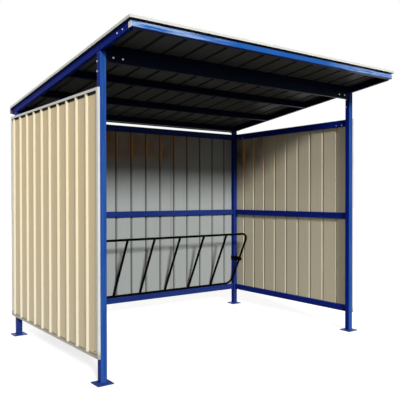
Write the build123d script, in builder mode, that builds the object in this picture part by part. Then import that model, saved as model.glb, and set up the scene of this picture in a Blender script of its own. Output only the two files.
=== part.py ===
from build123d import *
from math import atan, cos, sin, tan
import os

# Open-fronted bike shelter: four bolted-down posts carry a frame of rectangular tube, ribbed steel sheet
# closes the back, the sides and the single-pitch roof, and a tube rack for bikes leans out from the back.
# Millimetres. X runs along the open front, Y from the front to the back, Z up from the ground.

# Posts: square tube on welded base plates
post_spacing = 3302
post_depth_spacing = 2260
post_size = 63.5
post_wall = 3.2
front_post_height = 2920
base_plate_size = 152.4
base_plate_thickness = 9.5
anchor_hole_spacing = 101.6
anchor_hole_diameter = 14.3

# Rectangular tube of the rails, the header, the rafters and the purlins
beam_height = 76.2
beam_width = 38.1
beam_wall = 2.5

# Outer corner radius of every rectangular tube, as a share of its wall
tube_corner_share = 2

# Walls: heights above the ground, and the gap left open under the roof's purlin at the back
wall_bottom_height = 225
back_vent_gap = 50.8
top_rail_drop = 9
middle_rail_bottom_height = 1374.4
side_wall_back_reach = 66

# Ribbed sheet of the walls and the roof
sheet_thickness = 1.2
rib_pitch = 228.6
rib_height = 19.05
rib_base_width = 40
rib_crown_width = 20
sheet_clearance = 0.5

# Folded edge trim
trim_thickness = 1.5
trim_narrow_lip = 25
trim_wide_lip = 33

# Roof: falls to the back, reaches are measured down the slope from the post centres
roof_fall_share = 0.119
roof_front_reach = 632
roof_back_reach = 120
roof_side_reach = 52.5
roof_trim_drop = 25
roof_back_trim_drop = 85
purlin_bays = 3
rafter_end_setback = 20
fascia_size = 50.8
fascia_wall = 2.5
fascia_setback = 20
fascia_drop = 16
fascia_cap_thickness = 3

# Bike rack: round tube, a loop with upright bars that stands on the back wall's bottom rail
rack_tube_diameter = 31.75
rack_tube_wall = 2
rack_bays = 8
rack_lean = 404
rack_rise = 781
rack_corner_radius = 110
rack_end_stub = 30
rack_weld_gap = 0.2
rack_bracket_thickness = 6.35
rack_bracket_height = 60
rack_bracket_rise_share = 0.5

# Places that follow from the sizes
roof_angle = atan(roof_fall_share)
sheet_depth = sheet_thickness + rib_height
trim_depth = sheet_depth + trim_thickness
roof_top = beam_height + trim_depth
back_post_run = post_depth_spacing / cos(roof_angle)
roof_front_run = -roof_front_reach
roof_back_run = back_post_run + roof_back_reach
front_edge_run = roof_front_run - trim_thickness
back_edge_run = roof_back_run + trim_thickness
front_edge = front_edge_run * cos(roof_angle) + (roof_top - roof_trim_drop) * sin(roof_angle)
back_edge = back_edge_run * cos(roof_angle) + roof_top * sin(roof_angle)
front_post_y = -(front_edge + back_edge) / 2
back_post_y = front_post_y + post_depth_spacing
half_post = post_size / 2
post_x = post_spacing / 2
inner_face_x = post_x - half_post
outer_face_x = post_x + half_post
back_face_y = back_post_y + half_post
beam_x = outer_face_x - beam_width / 2
back_beam_y = back_face_y - beam_width / 2
roof_half_width = post_x + roof_side_reach
back_purlin_bottom = front_post_height - (back_post_run + beam_width / 2) * sin(roof_angle)
top_rail_top = back_purlin_bottom - back_vent_gap
wall_top_height = top_rail_top + top_rail_drop

# The roof plane lies on the undersides of the rafters and purlins: local y runs down the slope
roof_plane = Plane(
    origin=(0, front_post_y, front_post_height),
    x_dir=(1, 0, 0),
    z_dir=(0, roof_fall_share, 1),
)
down_slope = roof_plane.y_dir
roof_normal = roof_plane.z_dir
left, right, up, down, back, front = (-1, 0, 0), (1, 0, 0), (0, 0, 1), (0, 0, -1), (0, 1, 0), (0, -1, 0)

os.makedirs("parts", exist_ok=True)


def write(piece, name):
    piece.label = name
    export_step(piece, f"parts/{name}.step")


def write_pair(left_piece, name):
    """Write a left-hand piece and its mirror image on the right."""
    write(left_piece, f"left_{name}")
    with BuildPart() as right_piece:
        mirror(left_piece, about=Plane.YZ)
    write(right_piece.part, f"right_{name}")


def tube_section(width, height, wall):
    """Draw a rectangular tube's section, with the rounded corners that rolling leaves."""
    RectangleRounded(width, height, tube_corner_share * wall)
    inner_radius = (tube_corner_share - 1) * wall
    RectangleRounded(width - 2 * wall, height - 2 * wall, inner_radius, mode=Mode.SUBTRACT)


def tube(start, along, across, length, width, height, wall):
    """Rectangular tube from its start, its width measured across."""
    with BuildPart() as bar:
        with BuildSketch(Plane(origin=start, x_dir=across, z_dir=along)):
            tube_section(width, height, wall)
        extrude(amount=length)
    return bar.part


def ribbed_sheet(plane, width, length, rib_places):
    """Ribbed sheet along the plane's normal, as wide as its x axis, its ribs on the side of its y axis."""
    flank_run = (rib_base_width - rib_crown_width) / 2
    inner_shift = sheet_thickness * tan(atan(rib_height / flank_run) / 2)
    rib = [
        (-rib_base_width / 2, 0, inner_shift),
        (-rib_crown_width / 2, rib_height, inner_shift),
        (rib_crown_width / 2, rib_height, -inner_shift),
        (rib_base_width / 2, 0, -inner_shift),
    ]
    outer = [(place + x, y + sheet_thickness) for place in rib_places for x, y, shift in rib]
    inner = [(place + x + shift, y) for place in rib_places for x, y, shift in rib]
    outer = [(-width / 2, sheet_thickness), *outer, (width / 2, sheet_thickness)]
    inner = [(-width / 2, 0), *inner, (width / 2, 0)]
    with BuildPart() as sheet:
        with BuildSketch(plane):
            with BuildLine():
                Polyline(*outer, *reversed(inner), close=True)
            make_face()
        extrude(amount=length)
    return sheet.part


def edge_trim(corner, inward, outward, length, web, lip, neighbours=()):
    """Folded angle on a sheet's edge, from the middle of its outer corner: the web crosses the edge and the lip
    lies on the outer face. It is cut back where it meets its neighbours."""
    plane = Plane(origin=corner, x_dir=Vector(inward).cross(Vector(outward)), z_dir=outward)
    with BuildPart() as trim:
        with BuildSketch(plane):
            Rectangle(length, trim_thickness, align=(Align.CENTER, Align.MIN))
        extrude(amount=-web)
        with BuildSketch(plane):
            Rectangle(length, lip, align=(Align.CENTER, Align.MIN))
        extrude(amount=-trim_thickness)
        for neighbour in neighbours:
            add(neighbour, mode=Mode.SUBTRACT)
    return trim.part


# Base plates, bolted down through four anchor holes each
with BuildPart() as base_plates:
    with BuildSketch(Plane(origin=(0, (front_post_y + back_post_y) / 2, 0))):
        with GridLocations(post_spacing, post_depth_spacing, 2, 2):
            Rectangle(base_plate_size, base_plate_size)
            with GridLocations(anchor_hole_spacing, anchor_hole_spacing, 2, 2):
                Circle(anchor_hole_diameter / 2, mode=Mode.SUBTRACT)
    extrude(amount=base_plate_thickness)
write(base_plates.part, "base_plates")

# Posts welded on the base plates and cut at the top to the slope of the rafters
for row, post_y in (("front", front_post_y), ("back", back_post_y)):
    with BuildPart() as post:
        with BuildSketch(Plane(origin=(-post_x, post_y, base_plate_thickness))):
            tube_section(post_size, post_size, post_wall)
        extrude(amount=front_post_height)
        split(bisect_by=roof_plane, keep=Keep.BOTTOM)
    write_pair(post.part, f"{row}_post")

# Rails between the posts, flush with the outer faces of the posts, and the header between the front posts
rail_heights = {
    "top": top_rail_top - beam_height / 2,
    "middle": middle_rail_bottom_height + beam_height / 2,
    "bottom": wall_bottom_height + beam_height / 2,
}
side_rail_length = post_depth_spacing - post_size
cross_rail_length = post_spacing - post_size
for level, height in rail_heights.items():
    start = (-beam_x, front_post_y + half_post, height)
    side_rail = tube(start, back, right, side_rail_length, beam_width, beam_height, beam_wall)
    write_pair(side_rail, f"{level}_rail")
    start = (-inner_face_x, back_beam_y, height)
    back_rail = tube(start, right, back, cross_rail_length, beam_width, beam_height, beam_wall)
    write(back_rail, f"back_{level}_rail")
header_top = front_post_height - beam_width / 2 * sin(roof_angle)
start = (-inner_face_x, front_post_y, header_top - beam_height / 2)
header = tube(start, right, back, cross_rail_length, beam_width, beam_height, beam_wall)
write(header, "front_header")

# Roof frame: rafters on the posts, purlins between them and a square fascia tube across their front ends,
# let down a little so that the roof's edge shows a dark gap above it
fascia_front = roof_front_run + fascia_setback
rafter_front = fascia_front + fascia_size
rafter_length = roof_back_run - rafter_end_setback - rafter_front
start = roof_plane.from_local_coords((-beam_x, rafter_front, beam_height / 2))
rafter = tube(start, down_slope, right, rafter_length, beam_width, beam_height, beam_wall)
write_pair(rafter, "rafter")
purlin_half_length = outer_face_x - beam_width
purlin_spacing = back_post_run / purlin_bays
with BuildPart() as purlins:
    start = roof_plane.from_local_coords((-purlin_half_length, back_post_run / 2, beam_height / 2))
    with BuildSketch(Plane(origin=start, x_dir=down_slope, z_dir=right)):
        with GridLocations(purlin_spacing, purlin_spacing, purlin_bays + 1, 1):
            tube_section(beam_width, beam_height, beam_wall)
    extrude(amount=2 * purlin_half_length)
write(purlins.part, "roof_purlins")
fascia_half_length = outer_face_x - fascia_cap_thickness
fascia_height = beam_height - fascia_drop - fascia_size / 2
start = roof_plane.from_local_coords((-fascia_half_length, fascia_front + fascia_size / 2, fascia_height))
fascia = tube(start, right, down_slope, 2 * fascia_half_length, fascia_size, fascia_size, fascia_wall)
write(fascia, "front_fascia")
with BuildPart() as fascia_cap:
    with BuildSketch(Plane(origin=start, x_dir=down_slope, z_dir=left)):
        RectangleRounded(fascia_size, fascia_size, tube_corner_share * fascia_wall)
    extrude(amount=fascia_cap_thickness)
write_pair(fascia_cap.part, "fascia_cap")

# Wall sheets on the outside of the posts and rails: the back sheet fits between the side sheets
sheet_bottom = wall_bottom_height + trim_thickness
sheet_length = wall_top_height - trim_thickness - sheet_bottom
wall_front_y = front_post_y - half_post
wall_back_y = back_face_y + side_wall_back_reach
wall_middle_y = (wall_front_y + wall_back_y) / 2
side_wall_length = wall_back_y - wall_front_y
side_sheet_width = side_wall_length - 2 * trim_thickness
side_rib_count = int((side_sheet_width - half_post) // rib_pitch)
side_ribs = [front_post_y + rib_pitch * (rib + 1) - wall_middle_y for rib in range(side_rib_count)]
plane = Plane(origin=(-outer_face_x, wall_middle_y, sheet_bottom), x_dir=back, z_dir=up)
write_pair(ribbed_sheet(plane, side_sheet_width, sheet_length, side_ribs), "wall_sheet")
cross_rib_count = 2 * int(outer_face_x // rib_pitch)
cross_ribs = [rib_pitch * (rib - (cross_rib_count - 1) / 2) for rib in range(cross_rib_count)]
back_sheet_width = 2 * (outer_face_x - sheet_clearance)
plane = Plane(origin=(0, back_face_y, sheet_bottom), x_dir=right, z_dir=up)
write(ribbed_sheet(plane, back_sheet_width, sheet_length, cross_ribs), "back_wall_sheet")

# Edge trims of the walls: the upright ones run full height and the level ones are cut to fit between them
wall_height = wall_top_height - wall_bottom_height
wall_middle_z = (wall_top_height + wall_bottom_height) / 2
trim_x = -outer_face_x - trim_depth
trim_y = back_face_y + trim_depth
corner = (trim_x, wall_front_y, wall_middle_z)
front_trim = edge_trim(corner, back, left, wall_height, trim_depth, trim_wide_lip)
write_pair(front_trim, "wall_front_trim")
corner = (trim_x, wall_back_y, wall_middle_z)
back_trim = edge_trim(corner, front, left, wall_height, trim_depth, trim_wide_lip)
write_pair(back_trim, "wall_back_trim")
for edge, height, inward in (("top", wall_top_height, down), ("bottom", wall_bottom_height, up)):
    corner = (trim_x, wall_middle_y, height)
    upright_trims = (front_trim, back_trim)
    side_trim = edge_trim(corner, inward, left, side_wall_length, trim_depth, trim_narrow_lip, upright_trims)
    write_pair(side_trim, f"wall_{edge}_trim")
    corner = (0, trim_y, height)
    cross_trim = edge_trim(corner, inward, back, back_sheet_width, trim_depth, trim_narrow_lip)
    write(cross_trim, f"back_wall_{edge}_trim")

# Roof sheet on the rafters and purlins, its ribs down the slope, with folded trims round its edge
roof_run = roof_back_run - roof_front_run
start = roof_plane.from_local_coords((0, roof_back_run, beam_height))
plane = Plane(origin=start, x_dir=right, z_dir=-down_slope)
write(ribbed_sheet(plane, 2 * roof_half_width, roof_run, cross_ribs), "roof_sheet")
roof_trim_half_width = roof_half_width + trim_thickness
roof_trim_run = back_edge_run - front_edge_run
end_trims = []
for end, run, inward, drop in (
    ("front", front_edge_run, down_slope, roof_trim_drop),
    ("back", back_edge_run, -down_slope, roof_back_trim_drop),
):
    corner = roof_plane.from_local_coords((0, run, roof_top))
    trim = edge_trim(corner, inward, roof_normal, 2 * roof_trim_half_width, drop, trim_wide_lip)
    write(trim, f"roof_{end}_trim")
    end_trims.append(trim)
corner = roof_plane.from_local_coords((-roof_trim_half_width, (front_edge_run + back_edge_run) / 2, roof_top))
roof_side_trim = edge_trim(
    corner, right, roof_normal, roof_trim_run, roof_trim_drop, trim_wide_lip, end_trims
)
write_pair(roof_side_trim, "roof_trim")

# Bike rack: the rack plane passes through the tube centres, its local y runs up the lean
rack_radius = rack_tube_diameter / 2
rack_bore = rack_radius - rack_tube_wall
rack_half_length = inner_face_x - rack_bracket_thickness - rack_radius
rack_height = (rack_lean**2 + rack_rise**2) ** 0.5
rack_bay = 2 * rack_half_length / rack_bays
rack_plane = Plane(
    origin=(0, back_beam_y, wall_bottom_height + beam_height + rack_radius),
    x_dir=right,
    z_dir=(0, -rack_rise, -rack_lean),
)
up_lean = rack_plane.y_dir
rack_straight = rack_half_length - rack_corner_radius - rack_end_stub
for level, run in (("top", rack_height), ("bottom", 0)):
    start = rack_plane.from_local_coords((-rack_straight, run, 0))
    with BuildPart() as rack_tube:
        with BuildSketch(Plane(origin=start, x_dir=up_lean, z_dir=right)):
            Circle(rack_radius)
            Circle(rack_bore, mode=Mode.SUBTRACT)
        extrude(amount=2 * rack_straight)
    write(rack_tube.part, f"rack_{level}_tube")

# Rack ends: one bent tube closes each end of the loop
with BuildPart() as rack_end:
    with BuildLine(rack_plane) as bend:
        FilletPolyline(
            (-rack_straight, 0),
            (-rack_half_length, 0),
            (-rack_half_length, rack_height),
            (-rack_straight, rack_height),
            radius=rack_corner_radius,
        )
    with BuildSketch(Plane(origin=bend.line @ 0, x_dir=up_lean, z_dir=bend.line % 0)):
        Circle(rack_radius)
        Circle(rack_bore, mode=Mode.SUBTRACT)
    sweep()
write_pair(rack_end.part, "rack_end")

# Rack bars, coped at both ends to seat on the top and bottom tubes
with BuildPart() as rack_bars:
    with BuildSketch(Plane(origin=rack_plane.origin, x_dir=right, z_dir=up_lean)):
        with GridLocations(rack_bay, rack_bay, rack_bays - 1, 1):
            Circle(rack_radius)
            Circle(rack_bore, mode=Mode.SUBTRACT)
    extrude(amount=rack_height)
    start = rack_plane.from_local_coords((-rack_half_length, 0, 0))
    with BuildSketch(Plane(origin=start, x_dir=up_lean, z_dir=right)):
        with Locations((0, 0), (rack_height, 0)):
            Circle(rack_radius + rack_weld_gap)
    extrude(amount=2 * rack_half_length, mode=Mode.SUBTRACT)
write(rack_bars.part, "rack_bars")

# Rack brackets: flat plates on the inner faces of the back posts that hold the rack's end tubes
bracket_end = rack_plane.from_local_coords((0, rack_bracket_rise_share * rack_height, 0))
bracket_length = back_face_y - bracket_end.Y
with BuildPart() as rack_bracket:
    with BuildSketch(Plane(origin=(-inner_face_x, bracket_end.Y, bracket_end.Z), x_dir=back, z_dir=right)):
        Rectangle(bracket_length, rack_bracket_height, align=(Align.MIN, Align.CENTER))
        Circle(rack_bracket_height / 2)
    extrude(amount=rack_bracket_thickness)
write_pair(rack_bracket.part, "rack_bracket")
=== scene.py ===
from math import radians

import bmesh
import bpy
from mathutils import Matrix, Vector


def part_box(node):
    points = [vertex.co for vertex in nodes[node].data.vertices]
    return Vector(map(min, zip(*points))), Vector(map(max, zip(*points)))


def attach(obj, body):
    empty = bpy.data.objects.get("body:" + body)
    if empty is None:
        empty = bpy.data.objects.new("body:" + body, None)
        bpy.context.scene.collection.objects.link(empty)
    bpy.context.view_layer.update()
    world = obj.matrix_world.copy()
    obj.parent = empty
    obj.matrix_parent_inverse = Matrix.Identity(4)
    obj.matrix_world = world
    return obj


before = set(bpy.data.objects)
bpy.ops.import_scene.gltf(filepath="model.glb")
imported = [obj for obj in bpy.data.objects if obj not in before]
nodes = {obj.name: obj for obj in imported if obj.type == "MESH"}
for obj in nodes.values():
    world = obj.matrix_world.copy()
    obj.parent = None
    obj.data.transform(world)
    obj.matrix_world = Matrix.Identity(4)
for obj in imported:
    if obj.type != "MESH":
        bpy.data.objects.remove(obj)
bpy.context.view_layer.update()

# Base plates: square plates of rolled steel with four anchor holes each, welded under the posts and
# powder coated blue with them. Feet and tyres have rubbed their coat dull, so it is rougher than on the
# posts. Their blue is paler than the painted-shade blue of the posts, and their faces that look to the
# front get the lit blue as painted light.


def srgb(code):
    """Linear colour of an sRGB hex code."""
    channels = [int(code[place:place + 2], 16) / 255 for place in (1, 3, 5)]
    return [*(c / 12.92 if c <= 0.04045 else ((c + 0.055) / 1.055) ** 2.4 for c in channels), 1.0]


def add(tree, kind, inputs=None, **settings):
    """Add a node with its settings, and set or link its inputs."""
    made = tree.nodes.new(kind)
    for name, value in settings.items():
        setattr(made, name, value)
    for key, value in (inputs or {}).items():
        if isinstance(value, bpy.types.NodeSocket):
            tree.links.new(value, made.inputs[key])
        else:
            made.inputs[key].default_value = value
    return made


def new_material(name, **constants):
    """Material with a principled shader, and the tree and shader to build on."""
    material = bpy.data.materials.new(name)
    material.use_nodes = True
    tree = material.node_tree
    shader = tree.nodes["Principled BSDF"]
    for socket, value in constants.items():
        shader.inputs[socket.replace("_", " ")].default_value = value
    return material, tree, shader


def dress(material, *names):
    """Give CAD nodes a material."""
    for name in names:
        nodes[name].data.materials.clear()
        nodes[name].data.materials.append(material)


# Orange peel of baked or sprayed paint, at the coarse end of its real size so that it shows close up.
mm = 0.001
peel_size, peel_depth, peel_strength = 4 * mm, 0.04 * mm, 0.4


def powder_coat(name, shade_pair, lit_pair, stretch, chalk_and_highlight, roughness, specular,
                streaks_from=0.0, lit_side=(0, -1, 0)):
    """Baked satin powder coat. It gives the eye soft clouds of two shades: a lit pair on the faces that
    turn to the lit side and a darker shaded pair on all others, as painted light and shade. The lit faces
    carry pale streaks, chalky on most parts and painted highlights on the fascia. Dust films the faces
    that look up, and orange peel lies in its gloss."""
    cloud_size, streak_width = 350 * mm, 15 * mm
    streak_low, streak_high, streak_fade = 0.4, 0.6, 0.5
    lit_edge, lit_full = 0.5, 0.9
    dust, dust_edge, dust_most = "#a9a79d", 0.6, 0.2
    gloss_change = 0.06
    material, tree, shader = new_material(name, IOR=1.5, Specular_IOR_Level=specular)
    place = add(tree, "ShaderNodeTexCoord")
    clouds = add(tree, "ShaderNodeTexNoise", {
        "Vector": place.outputs["Object"], "Scale": 1 / cloud_size, "Detail": 5.0, "Roughness": 0.6})
    deep = add(tree, "ShaderNodeMix", {
        0: clouds.outputs["Fac"], 6: srgb(shade_pair[0]), 7: srgb(shade_pair[1])}, data_type="RGBA")
    lit_clouds = add(tree, "ShaderNodeMix", {
        0: clouds.outputs["Fac"], 6: srgb(lit_pair[0]), 7: srgb(lit_pair[1])}, data_type="RGBA")
    along = add(tree, "ShaderNodeMapping", {"Vector": place.outputs["Object"], "Scale": stretch})
    streak = add(tree, "ShaderNodeTexNoise", {
        "Vector": along.outputs["Vector"], "Scale": 1 / streak_width, "Detail": 3.0, "Roughness": 0.7})
    # Pale streaks: chalky on most parts, painted highlights towards the fascia's ends.
    lines = add(tree, "ShaderNodeMapRange", {
        "Value": streak.outputs["Fac"], "From Min": streak_low, "From Max": streak_high,
        "To Min": 0.0, "To Max": chalk_and_highlight})
    spot = add(tree, "ShaderNodeSeparateXYZ", {"Vector": place.outputs["Object"]})
    from_middle = add(tree, "ShaderNodeMath", {0: spot.outputs["X"]}, operation="ABSOLUTE")
    near_end = add(tree, "ShaderNodeMapRange", {
        "Value": from_middle.outputs["Value"], "From Min": streaks_from,
        "From Max": streaks_from + streak_fade})
    streak_film = add(tree, "ShaderNodeMath", {
        0: lines.outputs["Result"], 1: near_end.outputs["Result"]}, operation="MULTIPLY")
    streaked = add(tree, "ShaderNodeMix", {
        0: streak_film.outputs["Value"], 6: lit_clouds.outputs[2], 7: srgb(lit_pair[2])}, data_type="RGBA")
    # Painted light and shade: faces that turn to the lit side take the lit pair, all others the shaded
    # pair.
    to_lit_side = add(tree, "ShaderNodeVectorMath", {
        0: place.outputs["Normal"], 1: lit_side}, operation="DOT_PRODUCT")
    lit_face = add(tree, "ShaderNodeMapRange", {
        "Value": to_lit_side.outputs["Value"], "From Min": lit_edge, "From Max": lit_full})
    shade = add(tree, "ShaderNodeMix", {
        0: lit_face.outputs["Result"], 6: deep.outputs[2], 7: streaked.outputs[2]}, data_type="RGBA")
    facing = add(tree, "ShaderNodeSeparateXYZ", {"Vector": place.outputs["Normal"]})
    top_face = add(tree, "ShaderNodeMapRange", {
        "Value": facing.outputs["Z"], "From Min": dust_edge, "From Max": 1.0,
        "To Min": 0.0, "To Max": dust_most})
    film = add(tree, "ShaderNodeMath", {
        0: top_face.outputs["Result"], 1: clouds.outputs["Fac"]}, operation="MULTIPLY")
    dusty = add(tree, "ShaderNodeMix", {
        0: film.outputs["Value"], 6: shade.outputs[2], 7: srgb(dust)}, data_type="RGBA")
    tree.links.new(dusty.outputs[2], shader.inputs["Base Color"])
    gloss = add(tree, "ShaderNodeMapRange", {
        "Value": clouds.outputs["Fac"],
        "To Min": roughness - gloss_change, "To Max": roughness + gloss_change})
    tree.links.new(gloss.outputs["Result"], shader.inputs["Roughness"])
    peel = add(tree, "ShaderNodeTexNoise", {
        "Vector": place.outputs["Object"], "Scale": 1 / peel_size, "Detail": 1.0})
    skin = add(tree, "ShaderNodeBump", {
        "Height": peel.outputs["Fac"], "Strength": peel_strength, "Distance": peel_depth})
    tree.links.new(skin.outputs["Normal"], shader.inputs["Normal"])
    return material


upright = (1.0, 1.0, 0.04)
plate_blue, lit_blue = ("#11357f", "#163c88"), ("#13408b", "#1b4b97", "#7190be")
plate_coat = powder_coat(
    "blue_powder_coat_trodden_dull", plate_blue, lit_blue, upright,
    chalk_and_highlight=0.12, roughness=0.42, specular=0.03)
dress(plate_coat, "base_plates")

# Posts: square steel tube, cut at the top to the roof's slope and welded upright on the plates, in a blue
# powder coat. Faces that look to the front get a lit blue with faint chalky streaks, and all other faces
# a darker, more violet blue, as painted light and shade. The back posts' lit blue is darker.

sides = {"left": -1, "right": 1}
across = (0.04, 1.0, 1.0)
shaded_blue, lit_inner_blue = ("#0a1c70", "#0e227a"), ("#17296a", "#1b2f72", "#44598f")
front_coat = powder_coat(
    "blue_powder_coat_lit_in_front", shaded_blue, lit_blue, upright,
    chalk_and_highlight=0.12, roughness=0.36, specular=0.03)
blue_coat = powder_coat(
    "blue_powder_coat_in_the_shelter", shaded_blue, lit_inner_blue, across,
    chalk_and_highlight=0.15, roughness=0.36, specular=0.04)
dress(front_coat, "left_front_post", "right_front_post")
dress(blue_coat, "left_back_post", "right_back_post")

# Foot welds: a fillet of weld metal runs round each post where it stands on its base plate. It was laid
# before the frame was coated, so the blue coat covers it.


def finish_mesh(mesh_data, name, material):
    """Turn a bmesh into a piece that rides on the shelter."""
    bmesh.ops.recalc_face_normals(mesh_data, faces=mesh_data.faces)
    mesh = bpy.data.meshes.new(name)
    mesh_data.to_mesh(mesh)
    mesh_data.free()
    mesh.materials.append(material)
    piece = bpy.data.objects.new(name, mesh)
    bpy.context.scene.collection.objects.link(piece)
    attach(piece, "root")


weld_leg = 0.006
plate_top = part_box("base_plates")[1].z
eighth_turn = Matrix.Rotation(radians(45), 4, "Z")
corner_reach = 2 ** 0.5
foot_welds = bmesh.new()
for side in sides:
    for row in ("front", "back"):
        low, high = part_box(f"{side}_{row}_post")
        half_post = (high.x - low.x) / 2
        middle = Vector(((low.x + high.x) / 2, (low.y + high.y) / 2, plate_top + weld_leg / 2))
        bmesh.ops.create_cone(
            foot_welds, cap_ends=True, segments=4, depth=weld_leg,
            radius1=(half_post + weld_leg) * corner_reach, radius2=half_post * corner_reach,
            matrix=Matrix.Translation(middle) @ eighth_turn)
finish_mesh(foot_welds, "foot_welds", blue_coat)

# Rails: rectangular steel tube between the posts, three to each wall, which carry the sheets. They are
# bolted to the posts and have the same coat as the back posts.

levels = ("top", "middle", "bottom")
dress(blue_coat, *[f"{wall}_{level}_rail" for wall in (*sides, "back") for level in levels])

# Header and purlins: rectangular steel tube, the header bolted between the front posts and the purlins
# set between the rafters to carry the roof sheet. Their blue is painted near black on every face, as
# painted shade under the roof.

shaded_roof_blue = ("#0d1426", "#11192e", "#1f283c")
shaded_roof_coat = powder_coat(
    "dark_blue_powder_coat_painted_shade", shaded_roof_blue, shaded_roof_blue, across,
    chalk_and_highlight=0.1, roughness=0.4, specular=0.03)
dress(shaded_roof_coat, "front_header", "roof_purlins")

# Rafters: rectangular steel tube on the posts' tops, falling to the back and standing out in front. The
# left one has the frame's painted-shade blue, with the lit blue on its front end. The right one has the
# header's near-black painted shade inside and the frame's painted-shade blue on its outer face.

left_coat = powder_coat(
    "blue_powder_coat_on_the_rafter", shaded_blue, lit_inner_blue, across,
    chalk_and_highlight=0.1, roughness=0.36, specular=0.01)
right_coat = powder_coat(
    "blue_powder_coat_painted_shade_inside", shaded_roof_blue, (*shaded_blue, lit_inner_blue[2]), across,
    chalk_and_highlight=0.1, roughness=0.4, specular=0.02, lit_side=(1, 0, 0))
dress(left_coat, "left_rafter")
dress(right_coat, "right_rafter")

# Fascia: a square steel tube bolted across the rafters' front ends, out in the weather. It has the same
# coat, glossier, with a paler lit blue on its front face as painted light and long pale streaks towards
# both ends as painted highlights.

fascia_lit_blue = ("#174e9c", "#2460ac", "#b9d2ee")
fascia_coat = powder_coat(
    "blue_powder_coat_painted_highlights", shaded_blue, fascia_lit_blue, across,
    chalk_and_highlight=0.6, roughness=0.3, specular=0.04, streaks_from=0.6)
dress(fascia_coat, "front_fascia")

# Fascia end caps: pressed steel plates that close the ends of the fascia tube, hot-dip galvanised and
# left bare. Zinc spangle gives them crystals of two pale greys, each with its own gloss and a faint
# facet.

spangle_size, facet_depth = 12 * mm, 0.05 * mm
galvanised, tree, shader = new_material("galvanised_end_cap", Metallic=0.6)
place = add(tree, "ShaderNodeTexCoord")
spangle = add(tree, "ShaderNodeTexVoronoi", {
    "Vector": place.outputs["Object"], "Scale": 1 / spangle_size})
grey = add(tree, "ShaderNodeMix", {
    0: spangle.outputs["Distance"], 6: srgb("#b9bbb8"), 7: srgb("#d6d8d6")}, data_type="RGBA")
tree.links.new(grey.outputs[2], shader.inputs["Base Color"])
crystal = add(tree, "ShaderNodeMapRange", {
    "Value": spangle.outputs["Distance"], "To Min": 0.44, "To Max": 0.56})
tree.links.new(crystal.outputs["Result"], shader.inputs["Roughness"])
facet = add(tree, "ShaderNodeBump", {
    "Height": spangle.outputs["Distance"], "Strength": 0.3, "Distance": facet_depth})
tree.links.new(facet.outputs["Normal"], shader.inputs["Normal"])
dress(galvanised, "left_fascia_cap", "right_fascia_cap")

# Frame bolts: zinc-plated hex bolts on washers, in pairs through the ends of the header and of the side
# walls' top rails, across the tops of the front posts with a nut inside, and through the rafters where
# they carry the fascia.


def speckled(name, speck_size, shades, detail, roughness, relief, **constants):
    """Finish with specks of two shades, which also change its gloss and stand a little proud."""
    material, tree, shader = new_material(name, **constants)
    place = add(tree, "ShaderNodeTexCoord")
    specks = add(tree, "ShaderNodeTexNoise", {
        "Vector": place.outputs["Object"], "Scale": 1 / speck_size, "Detail": detail})
    colour = add(tree, "ShaderNodeMix", {
        0: specks.outputs["Fac"], 6: srgb(shades[0]), 7: srgb(shades[1])}, data_type="RGBA")
    tree.links.new(colour.outputs[2], shader.inputs["Base Color"])
    gloss = add(tree, "ShaderNodeMapRange", {
        "Value": specks.outputs["Fac"], "To Min": roughness[0], "To Max": roughness[1]})
    tree.links.new(gloss.outputs["Result"], shader.inputs["Roughness"])
    grain = add(tree, "ShaderNodeBump", {
        "Height": specks.outputs["Fac"], "Strength": 0.4, "Distance": relief})
    tree.links.new(grain.outputs["Normal"], shader.inputs["Normal"])
    return material


# Electroplated zinc: bright silver metal with dull clouds a few millimetres across.
zinc = speckled(
    "zinc_plated_bolt_steel", 4 * mm, ("#b4babf", "#e4e7e8"), 3.0, (0.28, 0.48), 0.02 * mm, Metallic=1.0)


def lie_along(out):
    """Turn that lays a shape's z axis along out."""
    return Vector((0, 0, 1)).rotation_difference(Vector(out)).to_matrix().to_4x4()


def add_bolt(mesh_data, place, out, head_width, head_height, washer_width, washer_height):
    """Hex head with a turned chamfer, standing on a washer that lies on the face at place."""
    chamfer_share = 0.2
    seat = Matrix.Translation(place) @ lie_along(out)
    chamfer_height = head_height * chamfer_share
    flat_height = head_height - chamfer_height
    corner_radius = head_width / 3 ** 0.5
    start = 0
    for segments, height, bottom_radius, top_radius in (
            (16, washer_height, washer_width / 2, washer_width / 2),
            (6, flat_height, corner_radius, corner_radius),
            (6, chamfer_height, corner_radius, corner_radius * (1 - chamfer_share))):
        bmesh.ops.create_cone(
            mesh_data, cap_ends=True, segments=segments, depth=height, radius1=bottom_radius,
            radius2=top_radius, matrix=seat @ Matrix.Translation((0, 0, start + height / 2)))
        start += height


def side_faces(name, out):
    """A piece's lowest and highest corner, and the x of its outer and its inner face."""
    low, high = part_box(name)
    return low, high, *((low.x, high.x) if out < 0 else (high.x, low.x))


bolt = {"head_width": 0.013, "head_height": 0.0055, "washer_width": 0.017, "washer_height": 0.0016}
bolt_steps, rail_bolt_lift, header_bolt_share = (0.075, 0.168), 0.016, 0.55
post_bolt_drops, post_bolt_shift = (0.085, 0.172), 0.014
rafter_bolts = ((-1.347, 3.008), (-1.253, 2.999))


def add_side_rail_bolts(mesh_data, side, level):
    """Two bolts near each end of a side wall's rail, on its inner face."""
    low, high, _, inner_x = side_faces(f"{side}_{level}_rail", sides[side])
    for step in bolt_steps:
        for y in (low.y + step, high.y - step):
            add_bolt(mesh_data, (inner_x, y, low.z + rail_bolt_lift), (-sides[side], 0, 0), **bolt)


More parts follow.
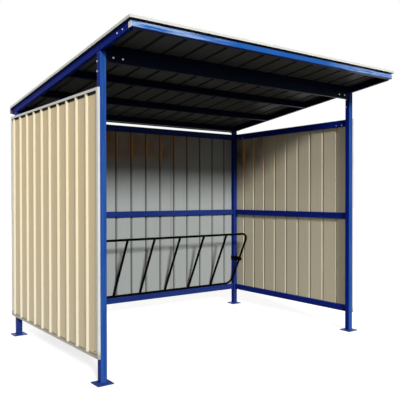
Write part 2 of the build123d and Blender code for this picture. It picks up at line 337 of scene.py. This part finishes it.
frame_bolts = bmesh.new()
low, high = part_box("front_header")
for step in bolt_steps:
    for x in (low.x + step, high.x - step):
        z = low.z + (high.z - low.z) * header_bolt_share
        add_bolt(frame_bolts, (x, low.y, z), (0, -1, 0), **bolt)
for side, out in sides.items():
    add_side_rail_bolts(frame_bolts, side, "top")
    low, high, outer_x, inner_x = side_faces(f"{side}_front_post", out)
    for drop in post_bolt_drops:
        y, z = (low.y + high.y) / 2 + post_bolt_shift, high.z - drop
        add_bolt(frame_bolts, (outer_x, y, z), (out, 0, 0), **bolt)
        add_bolt(frame_bolts, (inner_x, y, z), (-out, 0, 0), **bolt)
    outer_x = side_faces(f"{side}_rafter", out)[2]
    for y, z in rafter_bolts:
        add_bolt(frame_bolts, (outer_x, y, z), (out, 0, 0), **bolt)
finish_mesh(frame_bolts, "frame_bolts", zinc)

# Rail bolts: the same bolts through the ends of the side walls' middle and bottom rails and of the back
# rails. They were coated in place with the frame, so they are as blue as the rails.

rail_bolts = bmesh.new()
for side in sides:
    for level in ("middle", "bottom"):
        add_side_rail_bolts(rail_bolts, side, level)
for level in levels:
    low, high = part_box(f"back_{level}_rail")
    for step in bolt_steps:
        for x in (low.x + step, high.x - step):
            add_bolt(rail_bolts, (x, low.y, low.z + rail_bolt_lift), (0, -1, 0), **bolt)
finish_mesh(rail_bolts, "rail_bolts", blue_coat)

# Sheets: steel strip, coil coated beige on the weather side and with a grey backing coat inside,
# roll-formed into ribs and screwed to the rails and purlins. Dust splashes up their feet. Painted shade
# darkens the pans behind the trims' lips, the grooves inside and a lap of two sheets, and a brown painted
# shade lies high inside under the roof.

rib_pitch = 0.2286


def coil_coat(name, outward, stretch, outside, inside, rib_axis, first_rib, groove_shade_share, specular,
              lips=(-1.0, 9.0), lap=9.0, warm_shade_most=0.0, warm_shade_foot=2.0, warm_shade_axis="X",
              warm_shade_span=(0.0, 1.0), grime="#8c6c4a"):
    """Smooth baked coil coat, one colour on the outward side and another on the back. It gives the eye
    faint rain streaks, rib crowns paler as a painted highlight tone, splash dust at the foot and the
    sheet's slow
    waves in its gloss. It also paints shade: near black on the pans behind the trims' lips, dark in the
    grooves and at a lap on the inside, and a brown tint high up inside, which is painted shade and
    painted warm reflection, with painted orange highlights on the ribs' flanks. On a sheet without trims'
    lips or a lap, their places lie beyond it."""
    streak_width, wave_size, wave_depth, wave_strength = 30 * mm, 350 * mm, 1.2 * mm, 0.6
    rib_half, groove_width = 0.02, 0.02
    crown_edge, pan_edge, flank_edge = rib_half - 0.003, rib_half + 0.001, 0.002
    patch_low, patch_high, warm_shade_top, warm_shade_least = 0.1, 0.7, 2.25, 0.1
    flank_highlight, flank_share = "#f2b266", 0.9
    groove_shade, lap_width, lap_shade = "#1b1a17", 0.004, 0.6
    lip_shade, under_lip_span, under_lip_most = "#12100c", (-0.026, -0.02), 0.98
    over_lip_span, over_lip_most = (0.008, 0.003), 0.4
    splash_dust, splash_height, splash_most = "#c6c3b4", 1.6, 0.7
    edge_on, smooth, rough = 0.02, 0.38, 0.55
    material, tree, shader = new_material(name, IOR=1.5, Specular_IOR_Level=specular)
    place = add(tree, "ShaderNodeTexCoord")
    spot = add(tree, "ShaderNodeSeparateXYZ", {"Vector": place.outputs["Object"]})
    along = add(tree, "ShaderNodeMapping", {"Vector": place.outputs["Object"], "Scale": stretch})
    streak = add(tree, "ShaderNodeTexNoise", {
        "Vector": along.outputs["Vector"], "Scale": 1 / streak_width, "Detail": 5.0, "Roughness": 0.65})
    wave = add(tree, "ShaderNodeTexNoise", {
        "Vector": place.outputs["Object"], "Scale": 1 / wave_size, "Detail": 1.0})
    from_rib = add(tree, "ShaderNodeMath", {
        0: spot.outputs[rib_axis], 1: first_rib}, operation="SUBTRACT")
    off_centre = add(tree, "ShaderNodeMath", {
        0: from_rib.outputs["Value"], 1: rib_pitch / 2}, operation="PINGPONG")
    on_pan = add(tree, "ShaderNodeMapRange", {
        "Value": off_centre.outputs["Value"], "From Min": crown_edge, "From Max": pan_edge})

    # Weather side: streaked pans and crowns paler as a painted highlight tone, then splash dust, then
    # painted shade behind the lips.
    pan_coat = add(tree, "ShaderNodeMix", {
        0: streak.outputs["Fac"], 6: srgb(outside[0]), 7: srgb(outside[1])}, data_type="RGBA")
    # Crowns take the third outside colour, paler than the pans: a painted highlight tone.
    weather = add(tree, "ShaderNodeMix", {
        0: on_pan.outputs["Result"], 6: srgb(outside[2]), 7: pan_coat.outputs[2]}, data_type="RGBA")
    splash = add(tree, "ShaderNodeMapRange", {
        "Value": spot.outputs["Z"], "From Min": lips[0], "From Max": lips[0] + splash_height,
        "To Min": splash_most, "To Max": 0.0})
    splash_film = add(tree, "ShaderNodeMath", {
        0: splash.outputs["Result"], 1: streak.outputs["Fac"]}, operation="MULTIPLY")
    dusty = add(tree, "ShaderNodeMix", {
        0: splash_film.outputs["Value"], 6: weather.outputs[2], 7: srgb(splash_dust)}, data_type="RGBA")
    # Painted shade: the pans just under the top trim's lip go near black, and a band just over the bottom
    # trim's lip goes darker.
    under_lip = add(tree, "ShaderNodeMapRange", {
        "Value": spot.outputs["Z"], "From Min": lips[1] + under_lip_span[0],
        "From Max": lips[1] + under_lip_span[1], "To Max": under_lip_most})
    over_lip = add(tree, "ShaderNodeMapRange", {
        "Value": spot.outputs["Z"], "From Min": lips[0] + over_lip_span[0],
        "From Max": lips[0] + over_lip_span[1], "To Max": over_lip_most})
    lip_shade_band = add(tree, "ShaderNodeMath", {
        0: under_lip.outputs["Result"], 1: over_lip.outputs["Result"]}, operation="ADD")
    lip_shade_share = add(tree, "ShaderNodeMath", {
        0: lip_shade_band.outputs["Value"], 1: on_pan.outputs["Result"]}, operation="MULTIPLY")
    outer_coat = add(tree, "ShaderNodeMix", {
        0: lip_shade_share.outputs["Value"], 6: dusty.outputs[2], 7: srgb(lip_shade)}, data_type="RGBA")

    # Inside: backing coat, a brown tint of painted shade and warm reflection that thins downwards and
    # along the wall, painted orange highlights on the ribs' flanks, then painted shade in the grooves and
    # at the lap.
    backing = add(tree, "ShaderNodeMix", {
        0: streak.outputs["Fac"], 6: srgb(inside[0]), 7: srgb(inside[1])}, data_type="RGBA")
    # Painted shade: the brown tint thins downwards and along the wall; on the back wall it also stands
    # for a warm reflection.
    warm_shade_height = add(tree, "ShaderNodeMapRange", {
        "Value": spot.outputs["Z"], "From Min": warm_shade_foot, "From Max": warm_shade_top, "To Max": warm_shade_most})
    warm_shade_fade = add(tree, "ShaderNodeMapRange", {
        "Value": spot.outputs[warm_shade_axis], "From Min": warm_shade_span[0], "From Max": warm_shade_span[1],
        "To Min": 1.0, "To Max": warm_shade_least})
    warm_shade_share = add(tree, "ShaderNodeMath", {
        0: warm_shade_height.outputs["Result"], 1: warm_shade_fade.outputs["Result"]}, operation="MULTIPLY")
    patch = add(tree, "ShaderNodeMapRange", {
        "Value": wave.outputs["Fac"], "From Min": patch_low, "From Max": patch_high})
    warm_shade_patch = add(tree, "ShaderNodeMath", {
        0: warm_shade_share.outputs["Value"], 1: patch.outputs["Result"]}, operation="MULTIPLY")
    warm_shaded = add(tree, "ShaderNodeMix", {
        0: warm_shade_patch.outputs["Value"], 6: backing.outputs[2], 7: srgb(grime)}, data_type="RGBA")
    # Painted highlights: orange lines on the ribs' flanks where the brown tint lies.
    on_flank = add(tree, "ShaderNodeMapRange", {
        "Value": off_centre.outputs["Value"], "From Min": rib_half + flank_edge,
        "From Max": rib_half - flank_edge, "To Max": flank_share})
    flank_highlight_share = add(tree, "ShaderNodeMath", {
        0: on_flank.outputs["Result"], 1: warm_shade_patch.outputs["Value"]}, operation="MULTIPLY")
    flank_lit = add(tree, "ShaderNodeMix", {
        0: flank_highlight_share.outputs["Value"], 6: warm_shaded.outputs[2], 7: srgb(flank_highlight)}, data_type="RGBA")
    # Painted shade: a dark line in each groove and at the lap edge.
    groove = add(tree, "ShaderNodeMapRange", {
        "Value": off_centre.outputs["Value"], "From Min": groove_width / 3,
        "From Max": groove_width / 1.5, "To Min": groove_shade_share, "To Max": 0.0})
    lap_edge = add(tree, "ShaderNodeMath", {
        0: spot.outputs[rib_axis], 1: lap, 2: lap_width}, operation="COMPARE")
    groove_and_lap_shade = add(tree, "ShaderNodeMath", {
        0: lap_edge.outputs["Value"], 1: lap_shade, 2: groove.outputs["Result"]},
        operation="MULTIPLY_ADD")
    inner_coat = add(tree, "ShaderNodeMix", {
        0: groove_and_lap_shade.outputs["Value"], 6: flank_lit.outputs[2], 7: srgb(groove_shade)}, data_type="RGBA")

    facing = add(tree, "ShaderNodeVectorMath", {
        0: place.outputs["Normal"], 1: outward}, operation="DOT_PRODUCT")
    is_outside = add(tree, "ShaderNodeMath", {
        0: facing.outputs["Value"], 1: edge_on}, operation="GREATER_THAN")
    coat = add(tree, "ShaderNodeMix", {
        0: is_outside.outputs["Value"], 6: inner_coat.outputs[2], 7: outer_coat.outputs[2]},
        data_type="RGBA")
    tree.links.new(coat.outputs[2], shader.inputs["Base Color"])
    gloss = add(tree, "ShaderNodeMapRange", {
        "Value": streak.outputs["Fac"], "To Min": smooth, "To Max": rough})
    tree.links.new(gloss.outputs["Result"], shader.inputs["Roughness"])
    panning = add(tree, "ShaderNodeBump", {
        "Height": wave.outputs["Fac"], "Strength": wave_strength, "Distance": wave_depth})
    tree.links.new(panning.outputs["Normal"], shader.inputs["Normal"])
    return material


beige = ("#dbc69c", "#e3d1ac", "#d8cdb2")
# The side walls' warmer and the back wall's cooler backing grey are one backing coat; the difference is a
# painted reflection of the light each wall gets.
side_backing, back_backing = ("#c0b69c", "#cbc2aa"), ("#979b99", "#a3a7a5")
# The roof's backing grey is partly its real backing coat and partly painted shade, which makes it dark.
roof_backing_and_shade = ("#3f3f3b", "#4a4a46")
front_post, back_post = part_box("left_front_post"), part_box("left_back_post")
post_y = (front_post[0].y + front_post[1].y) / 2
side_rib, back_rib = post_y + rib_pitch, rib_pitch / 2
trim_lips = (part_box("left_wall_bottom_trim")[1].z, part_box("left_wall_top_trim")[0].z)
down_roof, roof_up = (1.0, 0.04, 1.0), (0, 0.12, 0.99)
left_sheet_coat = coil_coat(
    "left_wall_coil_coat", (-1, 0, 0), upright, beige, side_backing, "Y", side_rib,
    groove_shade_share=0.1, specular=0.04, lips=trim_lips)
# On the right and back walls the brown tint high inside is painted shade, on the back wall with a painted
# warm reflection.
right_sheet_coat = coil_coat(
    "right_wall_coil_coat", (1, 0, 0), upright, beige, side_backing, "Y", side_rib,
    groove_shade_share=0.1, specular=0.04, lips=trim_lips,
    warm_shade_most=1.1, warm_shade_foot=1.6, warm_shade_axis="Y", warm_shade_span=(1.37, 0.2), grime="#5c4731")
back_sheet_coat = coil_coat(
    "back_wall_coil_coat", (0, 1, 0), upright, beige, back_backing, "X", back_rib,
    groove_shade_share=0.8, specular=0.04, lips=trim_lips, lap=0.518, warm_shade_most=1.1, warm_shade_span=(0.2, 1.2))
roof_sheet_coat = coil_coat(
    "roof_coil_coat", roof_up, down_roof, beige, roof_backing_and_shade, "X", back_rib,
    groove_shade_share=0.4, specular=0.05)
dress(left_sheet_coat, "left_wall_sheet")
dress(right_sheet_coat, "right_wall_sheet")
dress(back_sheet_coat, "back_wall_sheet")
dress(roof_sheet_coat, "roof_sheet")

# Sheet screws: self-drilling screws with a small hex head on a dark rubber washer, beside every rib on
# each rail and purlin. Their heads are painted to match the sheet, all but one at the left wall's lower
# front corner that has lost its paint and rusted.

# Sprayed paint with small chips, moulded rubber with a grey bloom, and flaking brown oxide.
chip_size = 3 * mm
screw_paint = speckled(
    "beige_screw_paint", chip_size, ("#c2b083", "#e6d8b4"), 3.0, (0.4, 0.5), 0.03 * mm, IOR=1.5)
rubber = speckled(
    "black_rubber_washer", chip_size, ("#1a1a19", "#343330"), 2.0, (0.75, 0.85), 0.03 * mm, IOR=1.5)
rust = speckled(
    "rusted_screw_steel", chip_size, ("#3a1a0c", "#6d3517"), 4.0, (0.8, 0.9), 0.2 * mm, IOR=1.5)

screw = {"head_width": 0.008, "head_height": 0.004, "washer_width": 0.0115, "washer_height": 0.001}
sheet_thickness, seal_height, seal_width, beside_rib = 0.0012, 0.0014, 0.014, 0.036
side_ribs, half_back_ribs = 10, 7
post_x, back_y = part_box("right_front_post")[1].x, back_post[1].y
rail_boxes = [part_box(f"left_{level}_rail") for level in levels]
rail_heights = [(low.z + high.z) / 2 for low, high in rail_boxes]
back_screw_x = [(rib + 0.5) * rib_pitch + (beside_rib if rib < 0 else -beside_rib)
                for rib in range(-half_back_ribs, half_back_ribs)]
screw_places = []
for height in rail_heights:
    for rib in range(side_ribs):
        y = side_rib + rib * rib_pitch + (beside_rib if rib < side_ribs - 1 else -beside_rib)
        for out in sides.values():
            point = Vector((out * (post_x + sheet_thickness), y, height))
            screw_places.append((point, Vector((out, 0, 0))))
for height in rail_heights:
    for x in back_screw_x:
        screw_places.append((Vector((x, back_y + sheet_thickness, height)), Vector((0, 1, 0))))
fall_share, purlin_bays = 0.119, 3
roof_normal = Vector((0, fall_share, 1)).normalized()
down_slope = Vector((0, 1, -fall_share)).normalized()
low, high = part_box("front_header")
roof_seat = Vector((0, post_y, front_post[1].z)) + roof_normal * (high.z - low.z + sheet_thickness)
purlin_run = (back_post[1].y - front_post[1].y) * (1 + fall_share ** 2) ** 0.5 / purlin_bays
for purlin in range(purlin_bays + 1):
    for x in back_screw_x:
        point = roof_seat + down_slope * purlin * purlin_run + Vector((x, 0, 0))
        screw_places.append((point, roof_normal))
sheet_screws, screw_seals = bmesh.new(), bmesh.new()
for place, out in screw_places:
    bmesh.ops.create_cone(
        screw_seals, cap_ends=True, segments=12, depth=seal_height, radius1=seal_width / 2,
        radius2=seal_width / 2, matrix=Matrix.Translation(place + out * seal_height / 2) @ lie_along(out))
    add_bolt(sheet_screws, place + out * seal_height, out, **screw)
finish_mesh(sheet_screws, "sheet_screws", screw_paint)
finish_mesh(screw_seals, "screw_seals", rubber)
behind_post, above_lip = 0.078, 0.022
rusted_screw = bmesh.new()
rusted_place = (-post_x - sheet_thickness, post_y + behind_post, trim_lips[0] + above_lip)
add_bolt(rusted_screw, rusted_place, (-1, 0, 0), **screw)
finish_mesh(rusted_screw, "rusted_screw", rust)

# Edge trims: folded steel angles over every raw edge of the sheets, riveted on. White paint with clouds
# of grime, orange peel, and a darker grey towards the foot of the lowest ones. The deep trim along the
# roof's back edge shows from inside the roof's backing grey, darkened as painted shade.

grime_size, low_band_height, low_band_most = 120 * mm, 0.05, 0.8
grimy_white, clean_white, rib_white, low_trim_grey = "#c3c2bb", "#dcdcd7", "#d0d0ca", "#9a9586"
trim_white, tree, shader = new_material("white_painted_trim", IOR=1.5, Specular_IOR_Level=0.3)
place = add(tree, "ShaderNodeTexCoord")
grime = add(tree, "ShaderNodeTexNoise", {
    "Vector": place.outputs["Object"], "Scale": 1 / grime_size, "Detail": 6.0, "Roughness": 0.7})
white = add(tree, "ShaderNodeMix", {
    0: grime.outputs["Fac"], 6: srgb(grimy_white), 7: srgb(clean_white)}, data_type="RGBA")
spot = add(tree, "ShaderNodeSeparateXYZ", {"Vector": place.outputs["Object"]})
# The lowest trims go darker and greyer towards their foot.
low_band = add(tree, "ShaderNodeMapRange", {
    "Value": spot.outputs["Z"], "From Min": trim_lips[0] + low_band_height, "From Max": trim_lips[0],
    "To Max": low_band_most})
low_darkened = add(tree, "ShaderNodeMix", {
    0: low_band.outputs["Result"], 6: white.outputs[2], 7: srgb(low_trim_grey)}, data_type="RGBA")
tree.links.new(low_darkened.outputs[2], shader.inputs["Base Color"])
gloss = add(tree, "ShaderNodeMapRange", {
    "Value": grime.outputs["Fac"], "To Min": 0.5, "To Max": 0.35})
tree.links.new(gloss.outputs["Result"], shader.inputs["Roughness"])
peel = add(tree, "ShaderNodeTexNoise", {
    "Vector": place.outputs["Object"], "Scale": 1 / peel_size, "Detail": 1.0})
skin = add(tree, "ShaderNodeBump", {
    "Height": peel.outputs["Fac"], "Strength": peel_strength, "Distance": peel_depth})
tree.links.new(skin.outputs["Normal"], shader.inputs["Normal"])
dress(trim_white, *[name for name in nodes if name.endswith("_trim")])
# The back trim's inside takes the roof's darkened backing grey, partly painted shade.
back_trim_coat = coil_coat(
    "white_trim_with_shaded_back", (0, 1, 0.2), down_roof, (grimy_white, clean_white, rib_white),
    roof_backing_and_shade, "X", first_rib=0.0, groove_shade_share=0.0, specular=0.1)
dress(back_trim_coat, "roof_back_trim")

# Trim rivets: blind rivets with a low dome, set through the trims' lips into every second rib crown and
# evenly up the upright trims, and painted white with them.

rivet_width, rivet_height, upright_bays = 0.0085, 0.0022, 5
trim_rivets = bmesh.new()


def add_rivet(place, out):
    """Low dome on the trim at place."""
    flatten = Matrix.Diagonal((rivet_width / 2, rivet_width / 2, rivet_height, 1))
    bmesh.ops.create_uvsphere(
        trim_rivets, u_segments=12, v_segments=6, radius=1,
        matrix=Matrix.Translation(place) @ lie_along(out) @ flatten)


for side, out in sides.items():
    for edge in ("top", "bottom"):
        low, high, outer_x, _ = side_faces(f"{side}_wall_{edge}_trim", out)
        for rib in range(0, side_ribs, 2):
            add_rivet((outer_x, side_rib + rib * rib_pitch, (low.z + high.z) / 2), (out, 0, 0))
    for edge in ("front", "back"):
        low, high, outer_x, _ = side_faces(f"{side}_wall_{edge}_trim", out)
        for bay in range(1, upright_bays):
            z = low.z + (high.z - low.z) * bay / upright_bays
            add_rivet((outer_x, (low.y + high.y) / 2, z), (out, 0, 0))
for edge in ("top", "bottom"):
    low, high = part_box(f"back_wall_{edge}_trim")
    for rib in range(-half_back_ribs, half_back_ribs, 2):
        add_rivet(((rib + 0.5) * rib_pitch, high.y, (low.z + high.z) / 2), (0, 1, 0))
finish_mesh(trim_rivets, "trim_rivets", trim_white)

# Bike rack: bent round steel tube with coped bars welded in, on two flat brackets. It is stoved in black
# gloss enamel, which gives the eye a deep even black with a narrow shine and faint scuffs.

enamel = ("#030303", "#060606", "#0b0b0b")
rack_black = powder_coat(
    "black_rack_enamel", enamel[:2], enamel, across, chalk_and_highlight=0.1, roughness=0.3, specular=0.015)
dress(rack_black, "rack_top_tube", "rack_bottom_tube", "left_rack_end", "right_rack_end", "rack_bars")
dress(rack_black, "left_rack_bracket", "right_rack_bracket")

# Rack bolts: a pair of the frame's hex bolts through each bracket into the back post beside it, blacked
# with the rack.

half_pair = 0.015
rack_bolts = bmesh.new()
for side, out in sides.items():
    low, high, _, inner_x = side_faces(f"{side}_rack_bracket", out)
    post_low, post_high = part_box(f"{side}_back_post")
    for shift in (-half_pair, half_pair):
        y, z = (post_low.y + post_high.y) / 2 + shift, (low.z + high.z) / 2
        add_bolt(rack_bolts, (inner_x, y, z), (-out, 0, 0), **bolt)
finish_mesh(rack_bolts, "rack_bolts", rack_black)

# Stage: a plain pale floor under a white sky. Both are white to the camera, in mirrors and through
# glass, and the floor keeps the shelter's shadow. To all other rays the floor is dull and the sky weak.

scene = bpy.context.scene
floor_half, floor_glow, sky_light = 60.0, 0.72, 0.25
floor_mesh = bmesh.new()
bmesh.ops.create_grid(floor_mesh, x_segments=1, y_segments=1, size=floor_half)
floor_data = bpy.data.meshes.new("floor")
floor_mesh.to_mesh(floor_data)
floor_mesh.free()
floor = bpy.data.objects.new("floor", floor_data)
scene.collection.objects.link(floor)


def seen_directly(tree):
    """One where the camera sees the surface, straight or in a mirror or through glass."""
    path = add(tree, "ShaderNodeLightPath")
    seen = add(tree, "ShaderNodeMath", {
        0: path.outputs["Is Camera Ray"], 1: path.outputs["Is Glossy Ray"]}, operation="MAXIMUM")
    seen_or_through = add(tree, "ShaderNodeMath", {
        0: seen.outputs["Value"], 1: path.outputs["Is Transmission Ray"]}, operation="MAXIMUM")
    return seen_or_through.outputs["Value"]


floor_paint = bpy.data.materials.new("pale_floor")
floor_paint.use_nodes = True
tree = floor_paint.node_tree
tree.nodes.remove(tree.nodes["Principled BSDF"])
glow = add(tree, "ShaderNodeEmission", {"Color": srgb("#ffffff"), "Strength": floor_glow})
shaded = add(tree, "ShaderNodeBsdfDiffuse", {"Color": srgb("#c8c8c8")})
white_floor = add(tree, "ShaderNodeAddShader", {0: glow.outputs["Emission"], 1: shaded.outputs["BSDF"]})
dull_floor = add(tree, "ShaderNodeBsdfDiffuse", {"Color": srgb("#5e5e5c")})
floor_shader = add(tree, "ShaderNodeMixShader", {
    0: seen_directly(tree), 1: dull_floor.outputs["BSDF"], 2: white_floor.outputs["Shader"]})
tree.links.new(floor_shader.outputs["Shader"], tree.nodes["Material Output"].inputs["Surface"])
floor_data.materials.append(floor_paint)

world = bpy.data.worlds.new("studio_sky")
scene.world = world
world.use_nodes = True
tree = world.node_tree
strength = add(tree, "ShaderNodeMapRange", {
    "Value": seen_directly(tree), "To Min": sky_light, "To Max": 1.0})
background = tree.nodes["Background"]
background.inputs["Color"].default_value = srgb("#ffffff")
tree.links.new(strength.outputs["Result"], background.inputs["Strength"])

# Light: a broad soft key from the front left, low enough to reach the back wall under the roof, a weak
# fill from the left for the side walls and another from behind for the back and the right side.

for name, energy, spread, direction in (
        ("soft_key", 3.3, 9, (-0.287, -0.883, 0.37)),
        ("left_fill", 0.78, 40, (-0.85, -0.45, 0.3)),
        ("back_fill", 1.0, 60, (0.55, 0.75, 0.4))):
    light_data = bpy.data.lights.new(name, "SUN")
    light_data.energy = energy
    light_data.angle = radians(spread)
    light = bpy.data.objects.new(name, light_data)
    scene.collection.objects.link(light)
    light.rotation_euler = Vector(direction).to_track_quat("Z", "Y").to_euler()

# Camera: at eye height in front of the left side, looking a little down, and framed as the photograph
# is. Angles are in degrees.

tilt_down, roll, heading = 0.611, 0.039, -37.435
camera_data = bpy.data.cameras.new("camera")
camera_data.sensor_width = 36.0
camera_data.lens = 51.327
camera_data.shift_x = -0.0541
camera_data.shift_y = 0.006
camera = bpy.data.objects.new("camera", camera_data)
scene.collection.objects.link(camera)
camera.location = (-3.8668, -5.5163, 1.6535)
camera.rotation_euler = (radians(90 - tilt_down), radians(roll), radians(heading))
scene.camera = camera
scene.view_settings.view_transform = "Standard"
